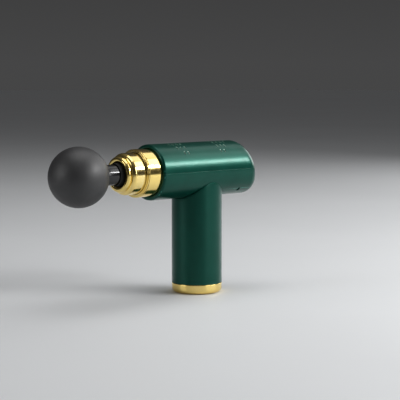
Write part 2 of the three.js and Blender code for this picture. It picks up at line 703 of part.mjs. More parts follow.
const usbOuter = slot(USB_H, USB_W, boardFace + 0.2, -0.6, 4).rotateZ(Math.PI / 2);
const usbInner = slot(USB_H - 2 * USB_WALL, USB_W - 2 * USB_WALL, -20, 2, 4).rotateZ(Math.PI / 2);
add('usb_shell', onPanel(cut(usbOuter, usbInner), 0, -USB_DROP), STEEL());
add('usb_tongue', onPanel(join(
  box(6.7, 2, 1.6, 0, 0, boardFace + 1.1),
  box(6.4, 0.7, 6, 0, 0, boardFace + 4.4),
), 0, -USB_DROP), BLACK());

export default group;
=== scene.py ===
"""Looks of the compact massage gun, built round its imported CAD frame. Metres, +Z up, ball head to -X."""
import json
import math

import bmesh
import bpy
from mathutils import Matrix, Vector


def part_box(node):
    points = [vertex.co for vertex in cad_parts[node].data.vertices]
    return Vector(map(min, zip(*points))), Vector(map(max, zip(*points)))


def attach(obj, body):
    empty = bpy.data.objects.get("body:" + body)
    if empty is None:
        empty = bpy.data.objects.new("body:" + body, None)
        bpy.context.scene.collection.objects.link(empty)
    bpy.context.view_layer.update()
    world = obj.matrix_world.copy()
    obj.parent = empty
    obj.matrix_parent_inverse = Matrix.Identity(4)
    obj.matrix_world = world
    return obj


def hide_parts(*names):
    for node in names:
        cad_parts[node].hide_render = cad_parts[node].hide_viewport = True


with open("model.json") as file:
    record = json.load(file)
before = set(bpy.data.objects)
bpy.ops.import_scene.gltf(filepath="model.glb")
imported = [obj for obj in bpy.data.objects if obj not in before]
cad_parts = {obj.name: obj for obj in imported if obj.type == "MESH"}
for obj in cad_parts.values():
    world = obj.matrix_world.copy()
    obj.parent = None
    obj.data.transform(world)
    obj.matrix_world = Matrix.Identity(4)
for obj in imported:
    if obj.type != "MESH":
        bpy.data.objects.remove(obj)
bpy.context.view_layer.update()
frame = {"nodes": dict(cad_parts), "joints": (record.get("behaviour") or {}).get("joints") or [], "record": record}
MM = 0.001

# ---- camera: the photograph's viewing angle ----
VIEW_AZIMUTH = -41.22      # degrees, 0 looks along +Y
VIEW_ELEVATION = 5.95
VIEW_DISTANCE = 1.2082
VIEW_AIM = Vector((0.0003, -0.0042, 0.0847))
LENS_MM = 118.86


def make_camera():
    a, e = math.radians(VIEW_AZIMUTH), math.radians(VIEW_ELEVATION)
    forward = Vector((-math.sin(a) * math.cos(e), math.cos(a) * math.cos(e), -math.sin(e)))
    camera = bpy.data.objects.new("camera", bpy.data.cameras.new("camera"))
    camera.location = VIEW_AIM - forward * VIEW_DISTANCE
    camera.rotation_euler = forward.to_track_quat("-Z", "Y").to_euler()
    camera.data.lens = LENS_MM
    camera.data.sensor_width = 36
    camera.data.clip_start = 0.01
    camera.data.clip_end = 50
    bpy.context.scene.collection.objects.link(camera)
    bpy.context.scene.camera = camera
    return forward


FORWARD = make_camera()


# ---- driving dimensions, read from the frame ----
def middle(node):
    low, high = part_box(node)
    return (low + high) / 2


def size(node):
    low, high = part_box(node)
    return high - low


def joint(name):
    return next(j for j in frame["joints"] if j["name"] == name)


AXIS_Z = middle("nose_bead").z
press = Vector(joint("button_press")["axis"])
LEAN = math.atan2(-press.z, -press.x)             # how far the rear face leans back
REAR_X = middle("rear_panel").x + 1.2 * MM        # rear face on the barrel's axis
LEAN_START = 30 * MM                              # the barrel is straight in front of this
FRONT_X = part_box("barrel_upper")[0].x
BARREL_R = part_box("barrel_upper")[1].z - AXIS_Z
WALL = 1.8 * MM
HANDLE_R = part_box("handle_tube")[1].y
FOOT_TOP = 8.8 * MM
SLEEVE_R = 21.4 * MM
NOSE_R = size("nose_cap").z / 2
BEAD_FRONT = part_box("nose_bead")[0].x
BEAD_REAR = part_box("nose_bead")[1].x
BEAD_R = size("nose_bead").z / 2
COLLAR_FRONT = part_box("bore_gasket")[0].x
COLLAR_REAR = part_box("bore_gasket")[1].x
COLLAR_R = size("bore_gasket").z / 2
LIP_X = -92.15 * MM
LIP_R = 13.15 * MM
LIP_ROLL = 2.75 * MM
SHOULDER_X = -84.1 * MM
SHOULDER_ROUND = 3.6 * MM
BALL_R = size("foam_ball").z / 2
BALL_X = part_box("foam_ball")[0].x + BALL_R
STEM_R = size("head_stem").z / 2
PLUNGER_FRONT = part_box("plunger")[0].x
PANEL_R = 19.9 * MM
GAP = 0.3 * MM


# ---- mesh helpers ----
SHARP_ANGLE = 32                    # degrees; edges sharper than this are shaded as edges
EASE_STEPS = (0.12, 0.35, 0.7)      # extra rows beside a part turn's caps, in units of its ease
EASE_PULL = (1.0, 0.5, 0.12, 0.02)  # how far the cap and each of those rows is pulled in
EASE_RIM = 0.95                     # only the outermost part of the radius is pulled in


def arc(along, radius, r, start, end, steps=8, across=None):
    """Profile points round a centre; angles in degrees from the +along direction.

    across stretches the arc in the radial direction.
    """
    angles = [math.radians(start + (end - start) * i / steps) for i in range(steps + 1)]
    return [(along + r * math.cos(a), radius + (across or r) * math.sin(a)) for a in angles]


def softened(corners, steps=4):
    """A closed profile whose corners (along, radius, fillet) are rounded by their own fillets."""
    out = []
    count = len(corners)
    for i, (along, radius, fillet) in enumerate(corners):
        here = Vector((along, radius))
        if fillet <= 0:
            out.append(tuple(here))
            continue
        before = Vector(corners[i - 1][:2]) - here
        after = Vector(corners[(i + 1) % count][:2]) - here
        reach = min(fillet, before.length * 0.45, after.length * 0.45)
        a, b = here + before.normalized() * reach, here + after.normalized() * reach
        for k in range(steps + 1):
            t = k / steps
            out.append(tuple(a * (1 - t) ** 2 + here * 2 * t * (1 - t) + b * t ** 2))
    return out


def along_x(along, y, z):
    return Vector((along, y, z + AXIS_Z))


def along_z(along, x, y):
    return Vector((x, y, along))


def leaned(p):
    """Shift a point of the barrel's rear so that it follows the slanted rear face."""
    if p.x > LEAN_START:
        p = Vector((p.x - (p.z - AXIS_Z) * math.tan(LEAN), p.y, p.z))
    return p


PANEL = Matrix((
    (0, -math.sin(LEAN), math.cos(LEAN), REAR_X),
    (1, 0, 0, 0),
    (0, math.cos(LEAN), math.sin(LEAN), AXIS_Z),
    (0, 0, 0, 1),
))


def on_panel(x=0.0, y=0.0):
    """Placement for a piece turned about +Z: its axis becomes the rear panel's outward normal."""
    return lambda along, a, b: PANEL @ Vector((a + x, b + y, along))


def mesh_object(name, mesh):
    obj = bpy.data.objects.new(name, mesh)
    bpy.context.scene.collection.objects.link(obj)
    return obj


def shade(obj):
    mesh = obj.data
    mesh.shade_smooth()
    mesh.set_sharp_from_angle(angle=math.radians(SHARP_ANGLE))
    return obj


def finished(name, bm):
    bmesh.ops.remove_doubles(bm, verts=bm.verts, dist=1e-7)
    bmesh.ops.recalc_face_normals(bm, faces=bm.faces)
    mesh = bpy.data.meshes.new(name)
    bm.to_mesh(mesh)
    bm.free()
    return shade(mesh_object(name, mesh))


def turned(name, profile, place, segments=128, span=(0.0, 360.0), bend=None, ease=0.0):
    """A solid of revolution, or a capped part of one, from (along, radius) points.

    A profile that starts and ends on the axis stays open there; any other closes on itself.
    ease pulls the surface in next to the caps of a part turn, which rounds its long edges.
    """
    whole = abs(span[1] - span[0]) >= 360
    on_axis = profile[0][1] < 1e-9 and profile[-1][1] < 1e-9
    stops = segments + (not whole)
    turns = [math.radians(span[0] + (span[1] - span[0]) * i / segments) for i in range(stops)]
    if ease and not whole:
        edge = [ease * step / BARREL_R for step in EASE_STEPS]
        turns = [turns[0], *[turns[0] + e for e in edge], *turns[1:-1],
                 *[turns[-1] - e for e in reversed(edge)], turns[-1]]
    outer = max(r for _, r in profile)
    bm = bmesh.new()
    rings = []
    for i, turn in enumerate(turns):
        from_cap = min(i, len(turns) - 1 - i)
        eased = ease and not whole and from_cap < len(EASE_PULL)
        drop = ease * 0.5 * EASE_PULL[from_cap] if eased else 0.0
        ring = []
        for along, r in profile:
            r = r - drop * max(0.0, (r / outer - EASE_RIM) / (1 - EASE_RIM))
            p = place(along, r * math.cos(turn), r * math.sin(turn))
            ring.append(bm.verts.new(bend(p) if bend else p))
        rings.append(ring)
    pairs = list(zip(rings, rings[1:])) + ([(rings[-1], rings[0])] if whole else [])
    count = len(profile)
    for near, far in pairs:
        for k in range(count - 1 if on_axis else count):
            n = (k + 1) % count
            corners = [near[k], near[n], far[n], far[k]]
            flat = [v for j, v in enumerate(corners) if (v.co - corners[j - 1].co).length > 1e-9]
            if len(flat) > 2:
                bm.faces.new(flat)
    if not whole:
        bm.faces.new(rings[0])
        bm.faces.new(reversed(rings[-1]))
    return finished(name, bm)


def rod(low, high, r, edge=0.0):
    """Profile of a plain rod with softened rims."""
    if not edge:
        return [(low, 0), (low, r), (high, r), (high, 0)]
    return [(low, 0), *arc(low + edge, r - edge, edge, 180, 90, 4),
            *arc(high - edge, r - edge, edge, 90, 0, 4), (high, 0)]


def stadium(width, length, steps=6):
    """Outline of a rounded slot, long side along the second axis, counted from its centre."""
    r, s = width / 2, (length - width) / 2
    turns = [math.pi * i / steps for i in range(steps + 1)]
    top = [(r * math.cos(turn), s + r * math.sin(turn)) for turn in turns]
    return top + [(-x, -y) for x, y in top]


def loft(name, rings, place):
    """A closed body through rings of outline points, each ring at its own height."""
    bm = bmesh.new()
    made = [[bm.verts.new(place(h, x, y)) for x, y in outline] for h, outline in rings]
    count = len(made[0])
    for low, high in zip(made, made[1:]):
        for k in range(count):
            n = (k + 1) % count
            bm.faces.new((low[k], low[n], high[n], high[k]))
    bm.faces.new(reversed(made[0]))
    bm.faces.new(made[-1])
    return finished(name, bm)


def merged(name, objects):
    """Several closed bodies in one mesh."""
    bm = bmesh.new()
    for obj in objects:
        bm.from_mesh(obj.data)
        bpy.data.meshes.remove(obj.data)
    mesh = bpy.data.meshes.new(name)
    bm.to_mesh(mesh)
    bm.free()
    return mesh_object(name, mesh)


def cut(obj, tools):
    """Cut tools out of obj and keep the result as its mesh."""
    tool = merged(obj.name + "_tool", tools) if len(tools) > 1 else tools[0]
    boolean = obj.modifiers.new("cut", "BOOLEAN")
    boolean.operation = "DIFFERENCE"
    boolean.solver = "EXACT"
    boolean.object = tool
    depsgraph = bpy.context.evaluated_depsgraph_get()
    mesh = bpy.data.meshes.new_from_object(obj.evaluated_get(depsgraph))
    obj.modifiers.clear()
    old, obj.data = obj.data, mesh
    bpy.data.meshes.remove(old)
    bpy.data.meshes.remove(tool.data)
    return shade(obj)


# ---- material helpers ----
class Finish:
    """A Principled material with helpers for the small marks that real surfaces have."""

    def __init__(self, name, colour, metallic=0.0, roughness=0.5, **sockets):
        self.material = bpy.data.materials.new(name)
        self.material.use_nodes = True
        self.tree = self.material.node_tree
        self.shader = self.tree.nodes["Principled BSDF"]
        self.place = self.tree.nodes.new("ShaderNodeTexCoord").outputs["Object"]
        self.shader.inputs["Base Color"].default_value = (*colour, 1)
        self.shader.inputs["Metallic"].default_value = metallic
        self.shader.inputs["Roughness"].default_value = roughness
        for socket, value in sockets.items():
            self.shader.inputs[socket.replace("_", " ")].default_value = value
        self.height = None

    def node(self, kind, **settings):
        made = self.tree.nodes.new(kind)
        for key, value in settings.items():
            setattr(made, key, value)
        return made

    def link(self, output, target):
        self.tree.links.new(output, target)

    def noise(self, grain, detail=3.0, stretch=(1, 1, 1)):
        """Noise with features of about grain metres, drawn out along an axis by stretch."""
        mapping = self.node("ShaderNodeMapping")
        mapping.inputs["Scale"].default_value = [1 / grain / s for s in stretch]
        self.link(self.place, mapping.inputs["Vector"])
        texture = self.node("ShaderNodeTexNoise")
        texture.inputs["Scale"].default_value = 1
        texture.inputs["Detail"].default_value = detail
        self.link(mapping.outputs["Vector"], texture.inputs["Vector"])
        return texture.outputs["Fac"]

    def cells(self, grain):
        """Closed cells about grain metres across; 0 at their centres."""
        texture = self.node("ShaderNodeTexVoronoi")
        texture.inputs["Scale"].default_value = 1 / grain
        self.link(self.place, texture.inputs["Vector"])
        return texture.outputs["Distance"]

    def ranged(self, value, low, high, source=(0.3, 0.7)):
        ramp = self.node("ShaderNodeMapRange")
        ramp.inputs["From Min"].default_value = source[0]
        ramp.inputs["From Max"].default_value = source[1]
        ramp.inputs["To Min"].default_value = low
        ramp.inputs["To Max"].default_value = high
        self.link(value, ramp.inputs["Value"])
        return ramp.outputs["Result"]

    def mix(self, factor, first, second):
        mixer = self.node("ShaderNodeMix", data_type="RGBA")
        for socket, colour in ((mixer.inputs[6], first), (mixer.inputs[7], second)):
            if isinstance(colour, tuple):
                socket.default_value = (*colour, 1)
            else:
                self.link(colour, socket)
        self.link(factor, mixer.inputs[0])
        return mixer.outputs[2]

    def mottled(self, grain, first, second):
        """Slow colour variation between two tones."""
        colour = self.mix(self.ranged(self.noise(grain), 0, 1), first, second)
        self.link(colour, self.shader.inputs["Base Color"])
        self.colour = colour
        return self

    def wear_and_edge_sheen(self, wear_and_sheen_colour, start=0.52, end=0.6):
        """Edges lightened towards another tone: partly rubbed wear, partly a painted highlight along the edges."""
        geometry = self.node("ShaderNodeNewGeometry")
        edge = self.ranged(geometry.outputs["Pointiness"], 0, 1, (start, end))
        wear_and_sheen_mask = self.node("ShaderNodeMath", operation="MULTIPLY")
        self.link(edge, wear_and_sheen_mask.inputs[0])
        self.link(self.ranged(self.noise(1.5 * MM), 0.2, 1), wear_and_sheen_mask.inputs[1])
        colour = self.mix(wear_and_sheen_mask.outputs[0], self.colour, wear_and_sheen_colour)
        self.link(colour, self.shader.inputs["Base Color"])
        return self

    def rough(self, grain, low, high, stretch=(1, 1, 1)):
        """Roughness that wanders between two values, as handling and polishing leave it."""
        self.link(self.ranged(self.noise(grain, 4, stretch), low, high), self.shader.inputs["Roughness"])
        return self

    def bumped(self, source, depth, strength=1.0):
        bump = self.node("ShaderNodeBump")
        bump.inputs["Strength"].default_value = strength
        bump.inputs["Distance"].default_value = depth
        self.link(source, bump.inputs["Height"])
        if self.height:
            self.link(self.height, bump.inputs["Normal"])
        self.height = bump.outputs["Normal"]
        self.link(self.height, self.shader.inputs["Normal"])
        return self


# Each finish's lighter edge tone below is partly rubbed wear, partly a painted highlight along its edges.
def green_metal():
    f = Finish("green_anodised", (0.0, 0.066, 0.047), 0.5, 0.34, Specular_IOR_Level=0.15, Coat_Weight=0.42,
               Coat_Roughness=0.24)
    f.mottled(14 * MM, (0.0, 0.063, 0.044), (0.001, 0.074, 0.052)).wear_and_edge_sheen((0.05, 0.26, 0.2))
    f.rough(9 * MM, 0.31, 0.37)
    return f.bumped(f.noise(0.22 * MM, 2), 0.003 * MM, 0.5).material


def gold_metal():
    f = Finish("polished_gold", (0.9, 0.7, 0.27), 1.0, 0.1)
    f.mottled(20 * MM, (0.88, 0.68, 0.25), (0.92, 0.72, 0.3)).wear_and_edge_sheen((1.0, 0.92, 0.6))
    f.rough(6 * MM, 0.11, 0.16)
    return f.bumped(f.noise(0.5 * MM, 2, (0.1, 6, 6)), 0.002 * MM, 0.3).material


def mint_metal():
    f = Finish("mint_chamfer", (0.5, 0.86, 0.68), 0.6, 0.25)
    f.mottled(8 * MM, (0.47, 0.82, 0.64), (0.55, 0.9, 0.73)).wear_and_edge_sheen((0.85, 0.97, 0.9))
    return f.rough(5 * MM, 0.2, 0.3).material


def cream_metal():
    f = Finish("pale_gold_satin", (0.9, 0.82, 0.42), 0.35, 0.35)
    f.mottled(12 * MM, (0.88, 0.79, 0.4), (0.93, 0.85, 0.46)).wear_and_edge_sheen((1.0, 0.95, 0.7))
    f.rough(4 * MM, 0.3, 0.42, (1, 8, 1))
    return f.bumped(f.noise(0.25 * MM, 2, (1, 12, 1)), 0.003 * MM, 0.5).material


def foam():
    f = Finish("foam_black", (0.032, 0.032, 0.0333), 0.0, 0.5, Specular_IOR_Level=0.8)
    f.mottled(9 * MM, (0.029, 0.029, 0.0302), (0.035, 0.035, 0.0364))
    f.rough(3 * MM, 0.48, 0.55)
    return f.bumped(f.cells(0.45 * MM), 0.03 * MM, 0.35).bumped(f.noise(6 * MM), 0.05 * MM, 0.3).material


def gloss_black():
    f = Finish("gloss_black", (0.012, 0.012, 0.013), 0.0, 0.16, Coat_Weight=0.3)
    f.mottled(10 * MM, (0.011, 0.011, 0.012), (0.016, 0.016, 0.017)).rough(5 * MM, 0.12, 0.22)
    return f.bumped(f.noise(2.5 * MM), 0.01 * MM, 0.3).material


def matt_black():
    f = Finish("matt_black", (0.02, 0.02, 0.021), 0.0, 0.55)
    f.mottled(5 * MM, (0.018, 0.018, 0.019), (0.026, 0.026, 0.027)).rough(2 * MM, 0.48, 0.62)
    return f.bumped(f.noise(0.15 * MM, 2), 0.01 * MM, 0.5).material


def rubber():
    f = Finish("black_rubber", (0.012, 0.012, 0.012), 0.0, 0.7)
    f.mottled(4 * MM, (0.01, 0.01, 0.01), (0.02, 0.02, 0.019)).rough(2 * MM, 0.6, 0.8)
    return f.bumped(f.noise(0.3 * MM, 3), 0.015 * MM, 0.5).material


def ground_steel():
    f = Finish("ground_steel", (0.6, 0.61, 0.63), 1.0, 0.28)
    f.mottled(6 * MM, (0.56, 0.57, 0.59), (0.66, 0.67, 0.69)).wear_and_edge_sheen((0.85, 0.86, 0.88))
    f.rough(3 * MM, 0.22, 0.36)
    return f.bumped(f.noise(0.2 * MM, 2, (8, 8, 0.6)), 0.004 * MM, 0.5).material


def machined_alloy():
    f = Finish("machined_alloy", (0.72, 0.73, 0.75), 1.0, 0.32)
    f.mottled(7 * MM, (0.68, 0.69, 0.71), (0.76, 0.77, 0.79)).wear_and_edge_sheen((0.92, 0.92, 0.94))
    f.rough(3 * MM, 0.26, 0.4)
    return f.bumped(f.noise(0.3 * MM, 2, (0.4, 8, 8)), 0.005 * MM, 0.5).material


def cell_wrap():
    f = Finish("cell_wrap", (0.03, 0.16, 0.42), 0.1, 0.35)
    f.mottled(12 * MM, (0.028, 0.15, 0.4), (0.04, 0.19, 0.48)).rough(4 * MM, 0.28, 0.42)
    return f.bumped(f.noise(5 * MM, 2, (1, 1, 4)), 0.03 * MM, 0.3).material


def circuit_board():
    f = Finish("circuit_board", (0.01, 0.12, 0.05), 0.0, 0.4, Coat_Weight=0.3)
    tracks = f.ranged(f.noise(1.4 * MM, 0, (1, 5, 1)), 0, 1, (0.55, 0.57))
    f.link(f.mix(tracks, (0.008, 0.1, 0.04), (0.03, 0.2, 0.09)), f.shader.inputs["Base Color"])
    f.rough(3 * MM, 0.32, 0.48)
    return f.bumped(tracks, 0.02 * MM, 0.4).material


def light_pipe():
    f = Finish("light_pipe", (0.2, 0.18, 0.09), 0.0, 0.25, Transmission_Weight=0.2)
    f.mottled(1 * MM, (0.18, 0.16, 0.08), (0.24, 0.21, 0.11))
    return f.rough(1 * MM, 0.2, 0.35).material


def bronze():
    f = Finish("bearing_bronze", (0.48, 0.28, 0.12), 1.0, 0.38)
    f.mottled(2 * MM, (0.42, 0.24, 0.1), (0.56, 0.34, 0.16)).wear_and_edge_sheen((0.8, 0.6, 0.35))
    f.rough(1.5 * MM, 0.3, 0.5)
    return f.bumped(f.noise(0.3 * MM, 3), 0.02 * MM, 0.4).material


def copper():
    f = Finish("stator_copper", (0.55, 0.2, 0.09), 1.0, 0.35)
    f.mottled(1 * MM, (0.45, 0.15, 0.06), (0.66, 0.28, 0.13)).rough(1 * MM, 0.25, 0.45)
    return f.bumped(f.noise(0.35 * MM, 1, (6, 6, 0.3)), 0.05 * MM, 0.5).material


MATERIALS = {
    "green_anodised": green_metal(),
    "polished_gold": gold_metal(),
    "mint_chamfer": mint_metal(),
    "pale_gold_satin": cream_metal(),
    "gloss_black": gloss_black(),
    "matt_black": matt_black(),
    "foam_black": foam(),
    "black_rubber": rubber(),
    "ground_steel": ground_steel(),
    "machined_alloy": machined_alloy(),
    "cell_wrap": cell_wrap(),
    "circuit_board": circuit_board(),
    "light_pipe": light_pipe(),
    "bearing_bronze": bronze(),
    "stator_copper": copper(),
}


def dress(obj, slot_name):
    obj.data.materials.clear()
    obj.data.materials.append(MATERIALS[slot_name])


def place(obj, body, slot_name, *nodes):
    """Give a new piece its finish, its body and the CAD nodes it stands for."""
    dress(obj, slot_name)
    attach(obj, body)
    if nodes:
        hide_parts(*nodes)
    return obj


# ---- barrel ----
SHELL_INNER = BARREL_R - WALL
FRONT_FILLET = 2.2 * MM
FRONT_WALL = 2.2 * MM
FRONT_HOLE_R = SLEEVE_R + 0.4 * MM
REAR_ROUND = (9 * MM, 7 * MM)      # rounding of the rear end, along the barrel and across it
REAR_ROUND_X = REAR_X - 7.2 * MM
REAR_RIM_R = 22.75 * MM
REAR_LIP_R = 22.4 * MM
PARTING = 0.06 * MM                # half of the seam between the two shells
SEAM_EASE = 0.3 * MM               # rounding of the shells along that seam
VENT_W = 1.2 * MM
VENT_L = 3.5 * MM
VENT_PITCH = 4.45 * MM
VENT_ROWS = ((0, 5), (15.5, 4), (31, 3), (46.5, 2))
VENT_GROUPS = ((-25.2 * MM, -1), (13.6 * MM, 1))
STRAP_X, STRAP_ANGLE = 37.2 * MM, 141.5
STRAP_W, STRAP_L = 2.4 * MM, 4.8 * MM


def shell_profile():
    end = math.degrees(math.asin((REAR_RIM_R - BARREL_R + REAR_ROUND[1]) / REAR_ROUND[1]))
    front = FRONT_X + FRONT_FILLET
    wall_rear = FRONT_X + FRONT_WALL
    rim, rim_middle = 0.3 * MM, 0.07 * MM
    return [
        (wall_rear, FRONT_HOLE_R), (FRONT_X + rim, FRONT_HOLE_R),
        (FRONT_X + rim_middle, FRONT_HOLE_R + rim_middle), (FRONT_X, FRONT_HOLE_R + rim),
        *arc(front, BARREL_R - FRONT_FILLET, FRONT_FILLET, 180, 90, 14),
        *[(x * MM, BARREL_R) for x in range(-45, 30, 15)],
        (LEAN_START, BARREL_R),
        *arc(REAR_ROUND_X, BARREL_R - REAR_ROUND[1], REAR_ROUND[0], 90, end, 22, REAR_ROUND[1]),
        (REAR_X - 0.62 * MM, REAR_LIP_R + 0.1 * MM), (REAR_X - 0.9 * MM, REAR_LIP_R),
        (REAR_X - 3.1 * MM, REAR_LIP_R), (REAR_X - 4.7 * MM, SHELL_INNER), (LEAN_START, SHELL_INNER),
        (wall_rear, SHELL_INNER),
    ]


def on_barrel(x, angle):
    """Placement on the barrel's side: height from the axis, across along X, around the barrel."""
    turn = math.radians(angle)

    def at(height, across, around):
        return Vector((x + across, around * math.cos(turn) - height * math.sin(turn),
                       around * math.sin(turn) + height * math.cos(turn) + AXIS_Z))

    return at


def slot_tool(name, x, angle, width, length):
    """A slot cutter with a flared mouth, which leaves a softly rounded rim."""
    flare = ((SHELL_INNER - 1 * MM, 0), (BARREL_R - 0.12 * MM, 0), (BARREL_R - 0.05 * MM, 0.06),
             (BARREL_R + 0.01 * MM, 0.22), (BARREL_R + 0.6 * MM, 1.4))
    rings = [(h, stadium(width + g * MM, length + g * MM)) for h, g in flare]
    return loft(name, rings, on_barrel(x, angle))


def vent_spots():
    for x0, way in VENT_GROUPS:
        for angle, count in VENT_ROWS:
            for side in (1,) if angle == 0 else (1, -1):
                for i in range(count):
                    yield x0 + way * i * VENT_PITCH, side * angle


def vent_glint(name, x, angle):
    """A painted glint in one vent's mouth: a thin mint ring standing for the light caught on its rim, widest at
    the slot's upper end.
    """
    low, high = BARREL_R - 0.4 * MM, BARREL_R - 0.06 * MM
    drop = -0.16 * MM * ((angle > 0) - (angle < 0))
    outer = stadium(VENT_W, VENT_L)
    inner = [(a, b + drop) for a, b in stadium(VENT_W - 0.14 * MM, VENT_L - 0.4 * MM)]
    at = on_barrel(x, angle)
    bm = bmesh.new()
    rings = [[bm.verts.new(at(h, *p)) for p in outline]
             for h, outline in ((low, inner), (low, outer), (high, outer), (high, inner))]
    for near, far in zip(rings, rings[1:] + rings[:1]):
        for k in range(len(near)):
            n = (k + 1) % len(near)
            bm.faces.new((near[k], near[n], far[n], far[k]))
    return finished(name, bm)


def make_barrel():
    gap = math.degrees(PARTING / BARREL_R)
    # turned() starts at +Y and rises through +Z
    over, under = (gap, 180 - gap), (180 + gap, 360 - gap)
    upper = turned("barrel_upper_shell", shell_profile(), along_x, 128, over, leaned, SEAM_EASE)
    vents = [slot_tool(f"vent_tool_{i}", x, a, VENT_W, VENT_L) for i, (x, a) in enumerate(vent_spots())]
    place(cut(upper, vents), "housing", "green_anodised", "barrel_upper")
    # thin mint rings in the vents' mouths are painted glints, brightest at each slot's upper end
    glints = [vent_glint(f"vent_edge_{i}", x, a) for i, (x, a) in enumerate(vent_spots())]
    place(shade(merged("vent_glints", glints)), "housing", "mint_chamfer")
    lower = turned("barrel_lower_shell", shell_profile(), along_x, 128, under, leaned, SEAM_EASE)
    handle_way = turned("handle_way_tool", rod(70 * MM, AXIS_Z - 5 * MM, HANDLE_R - WALL - 1.4 * MM), along_z)
    strap = slot_tool("strap_tool", STRAP_X, STRAP_ANGLE, STRAP_W, STRAP_L)
    place(cut(lower, [handle_way, strap]), "housing", "green_anodised", "barrel_lower")


# ---- handle and foot ----
BACK_SWELL = 0.55 * MM             # how far the handle's lip stands out at the back
HANDLE_ROWS = (40 * MM, 75 * MM)   # heights of the rows that divide the long tube
FOOT_FILLET = 4 * MM
FOOT_FLOOR = 2.5 * MM
FOOT_BORE_R = 18.9 * MM
FOOT_SPIGOT_TOP = 14 * MM


def make_handle():
    """Tube whose top follows the barrel all round, with a rounded lip that swells out at the back."""
    saddle_r = BARREL_R + 0.08 * MM
    lip = 1.1 * MM
    inner = HANDLE_R - WALL
    low = FOOT_TOP + GAP
    segments = 256
    bm = bmesh.new()
    rings = []

    def top(r, angle):
        return AXIS_Z - math.sqrt(saddle_r ** 2 - (r * math.sin(angle)) ** 2)

    for i in range(segments):
        angle = 2 * math.pi * i / segments
        swell = HANDLE_R + BACK_SWELL * max(0.0, math.cos(angle)) ** 3
        rim = [Vector((swell, top(swell, angle) - lip)), Vector((swell, top(swell, angle))),
               Vector((swell - lip, top(swell - lip, angle)))]
        curve = [rim[0] * (1 - t) ** 2 + rim[1] * 2 * t * (1 - t) + rim[2] * t * t
                 for t in (0, 0.2, 0.4, 0.6, 0.8, 1)]
        curve = [Vector((p.x, min(p.y, top(p.x, angle)))) for p in curve]
        profile = [(inner, low), (HANDLE_R - 0.15 * MM, low), (HANDLE_R, low + 0.15 * MM),
                   *[(HANDLE_R, z) for z in (low + 0.5 * MM, low + 1.2 * MM, *HANDLE_ROWS)],
                   (HANDLE_R, top(swell, angle) - 2.6 * lip), *[tuple(p) for p in curve],
                   (inner, top(inner, angle)), (inner, HANDLE_ROWS[-1])]
        rings.append([bm.verts.new((r * math.cos(angle), r * math.sin(angle), z)) for r, z in profile])
    for near, far in zip(rings, rings[1:] + rings[:1]):
        for k in range(len(near)):
            n = (k + 1) % len(near)
            bm.faces.new((near[k], far[k], far[n], near[n]))
    place(finished("handle_sleeve", bm), "housing", "green_anodised", "handle_tube")


def make_foot():
    inner = HANDLE_R - WALL - GAP
    edge = 0.3 * MM
    profile = [
        (0, 0), (0, 8 * MM),
        *arc(FOOT_FILLET, HANDLE_R - FOOT_FILLET, FOOT_FILLET, 180, 90, 16),
        *softened([(FOOT_FILLET, HANDLE_R, 0), (FOOT_TOP, HANDLE_R, edge), (FOOT_TOP, inner, 0)])[1:],
        (FOOT_SPIGOT_TOP, inner), (FOOT_SPIGOT_TOP, FOOT_BORE_R), (FOOT_FLOOR, FOOT_BORE_R), (FOOT_FLOOR, 0),
    ]
    place(turned("gold_foot", profile, along_z, 192), "housing", "polished_gold", "foot_cap")


# ---- nose ----
CAP_REAR = -64 * MM
CAP_BORE_R = 15.6 * MM
CAP_BORE_FRONT = -84.6 * MM
FLANGE_FRONT = -54.5 * MM
FLANGE_REAR = -52.3 * MM
FLANGE_R = 22.9 * MM


def make_nose():
    cap = [
        *arc(LIP_X + LIP_ROLL, LIP_R, LIP_ROLL, 270, 52, 26),
        *arc(SHOULDER_X, NOSE_R - SHOULDER_ROUND, SHOULDER_ROUND, 172, 90, 16),
        (CAP_REAR, NOSE_R), (CAP_REAR, CAP_BORE_R), (CAP_BORE_FRONT, CAP_BORE_R),
        (CAP_BORE_FRONT, LIP_R - LIP_ROLL),
    ]
    place(turned("gold_nose_cap", cap, along_x, 256), "housing", "polished_gold", "nose_cap")

    inner = NOSE_R + GAP
    step_x, step_r = BEAD_FRONT + 0.55 * MM, 20 * MM
    bead = softened([
        (BEAD_FRONT, inner, 0), (BEAD_FRONT, step_r, 0.45 * MM), (step_x, step_r, 0.12 * MM),
        (step_x, BEAD_R, 0.5 * MM), (BEAD_REAR, BEAD_R, 0.35 * MM), (BEAD_REAR, inner, 0)], 8)
    place(turned("gold_bead", bead, along_x, 256), "housing", "polished_gold", "nose_bead")

    front = BEAD_REAR + GAP
    sleeve = softened([
        (front, inner, 0), (front, SLEEVE_R, 0.35 * MM), (FLANGE_FRONT, SLEEVE_R, 0),
        (FLANGE_FRONT, FLANGE_R, 0), (FLANGE_REAR, FLANGE_R, 0), (FLANGE_REAR, inner, 0)], 8)
    place(turned("gold_sleeve", sleeve, along_x, 256), "housing", "polished_gold", "nose_sleeve")

    collar = softened([
        (COLLAR_FRONT, STEM_R + GAP, 0.15 * MM), (COLLAR_FRONT, COLLAR_R, 0.35 * MM),
        (COLLAR_REAR, COLLAR_R, 0.1 * MM), (COLLAR_REAR, STEM_R + GAP, 0.1 * MM)], 6)
    place(turned("black_collar", collar, along_x, 160), "housing", "black_rubber", "bore_gasket")


# ---- head ----
O_RINGS = ("head_o_ring_1", "head_o_ring_2")
SPIGOT_R = 7.3 * MM
GROOVE_R = 6.2 * MM
GROOVE_HALF = 0.9 * MM
CORE_FRONT = -140 * MM             # the stem's narrower core inside the ball, from here ...
CORE_REAR = -120 * MM              # ... to here
CORE_R = 8 * MM
CORE_CLEAR = 0.3 * MM
CORE_TAPER = 2 * MM


